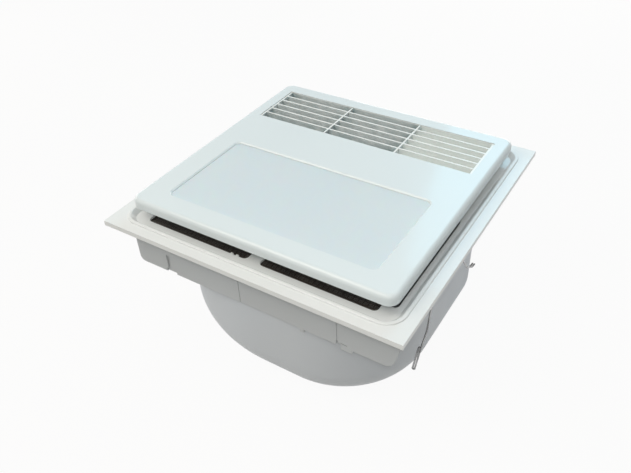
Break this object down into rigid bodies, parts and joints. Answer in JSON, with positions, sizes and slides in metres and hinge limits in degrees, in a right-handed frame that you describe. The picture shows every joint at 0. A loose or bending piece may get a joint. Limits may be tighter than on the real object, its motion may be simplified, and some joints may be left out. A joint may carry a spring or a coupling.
{
  "type": "bathroom ceiling heater",
  "caption": "Square bathroom ceiling heater: hinged face with light window and outlet grille over intake slots, deep scroll fan housing, side duct outlet and wire spring clips.",
  "frame": {"origin": "on the bench under the middle of the square face, the heater lying face up", "axes": "+Z out of the face, +X along the intake slots to the right, +Y from the intake slots to the outlet grille"},
  "size_m": [0.43, 0.43, 0.241],
  "materials": {
    "white_enamel": "moulded white plastic, gently glossy",
    "body_plastic": "off-white moulded plastic, satin",
    "diffuser": "translucent white diffuser sheet",
    "filter_mesh": "dark nylon mesh",
    "galvanised": "galvanised sheet",
    "steel": "bright steel",
    "spring_wire": "spring steel wire",
    "aluminium_fin": "pressed aluminium fins",
    "copper_winding": "laminated core with enamelled winding",
    "motor_can": "painted motor can",
    "rubber": "black rubber",
    "black_plastic": "black moulded plastic",
    "grey_plastic": "grey moulded plastic",
    "board": "circuit board laminate",
    "white_board": "white lamp board",
    "blank": "pale blanking sheet",
    "magnet": "ferrite magnet"
  },
  "bodies": {
    "housing": {"face_frame": "white_enamel", "base_tray": "body_plastic", "front_skirt": "body_plastic", "scroll_housing": "body_plastic", "scroll_screws": "steel", "inlet_ring": "galvanised", "intake_filter_left": "filter_mesh", "intake_filter_right": "filter_mesh", "frame_screws": "steel", "mounting_ears": "galvanised", "ear_screws": "steel", "duct_spigot": "body_plastic", "spigot_screws": "steel", "flap_pin": "steel", "damper_motor": "black_plastic", "damper_screw": "steel", "motor_stator": "copper_winding", "motor_housing": "motor_can", "motor_bearings": "steel", "motor_bracket": "galvanised", "motor_mounts": "rubber", "motor_screws": "steel", "heater_duct": "galvanised", "outlet_collar": "galvanised", "heater_frame": "galvanised", "heater_bars": "aluminium_fin", "heater_terminals": "steel", "thermal_cutout": "black_plastic", "wiring_box": "galvanised", "wiring_box_lid": "galvanised", "lid_screws": "steel", "cable_gland": "black_plastic", "terminal_block": "grey_plastic", "control_board": "board", "run_capacitor": "grey_plastic", "clip_brackets": "galvanised", "clip_pins": "steel", "hinge_pins": "steel", "catch_magnet": "magnet"},
    "cover": {"cover_plate": "white_enamel", "catch_plate": "steel", "light_diffuser": "diffuser", "light_tray": "galvanised", "light_screws": "steel", "led_board": "white_board", "grille_insert": "white_enamel", "blank_plate": "blank", "hinge_arms": "white_enamel"},
    "fan_wheel": {"impeller": "galvanised", "impeller_nut": "steel", "motor_shaft": "steel", "motor_rotor": "steel"},
    "damper": {"damper_blade": "galvanised", "damper_shaft": "steel"},
    "flap": {"backdraft_flap": "galvanised"},
    "clip_front_right_spring": {"clip_front_right": "spring_wire"},
    "clip_back_right_spring": {"clip_back_right": "spring_wire"},
    "clip_front_left_spring": {"clip_front_left": "spring_wire"},
    "clip_back_left_spring": {"clip_back_left": "spring_wire"}
  },
  "joints": [
    {"name": "cover_hinge", "type": "hinge", "parent": "housing", "child": "cover", "pos_m": [0, 0.1745, 0.221], "axis": [-1, 0, 0], "range_deg": [0, 70]},
    {"name": "fan_spin", "type": "hinge", "parent": "housing", "child": "fan_wheel", "pos_m": [0.052, -0.056, 0.09], "axis": [0, 0, 1], "continuous": true},
    {"name": "damper_swing", "type": "hinge", "parent": "housing", "child": "damper", "pos_m": [-0.1135, 0.158, 0.13], "axis": [-1, 0, 0], "range_deg": [0, 88]},
    {"name": "flap_swing", "type": "hinge", "parent": "housing", "child": "flap", "pos_m": [-0.112, 0.186, 0.088], "axis": [1, 0, 0], "range_deg": [0, 70]},
    {"name": "clip_front_right_swing", "type": "hinge", "parent": "housing", "child": "clip_front_right_spring", "pos_m": [0.205, -0.114, 0.199], "axis": [0, -1, 0], "range_deg": [-3, 75]},
    {"name": "clip_back_right_swing", "type": "hinge", "parent": "housing", "child": "clip_back_right_spring", "pos_m": [0.205, -0.036, 0.199], "axis": [0, -1, 0], "range_deg": [-3, 75]},
    {"name": "clip_front_left_swing", "type": "hinge", "parent": "housing", "child": "clip_front_left_spring", "pos_m": [-0.205, -0.114, 0.199], "axis": [0, 1, 0], "range_deg": [-3, 75]},
    {"name": "clip_back_left_swing", "type": "hinge", "parent": "housing", "child": "clip_back_left_spring", "pos_m": [-0.205, -0.036, 0.199], "axis": [0, 1, 0], "range_deg": [-3, 75]}
  ]
}
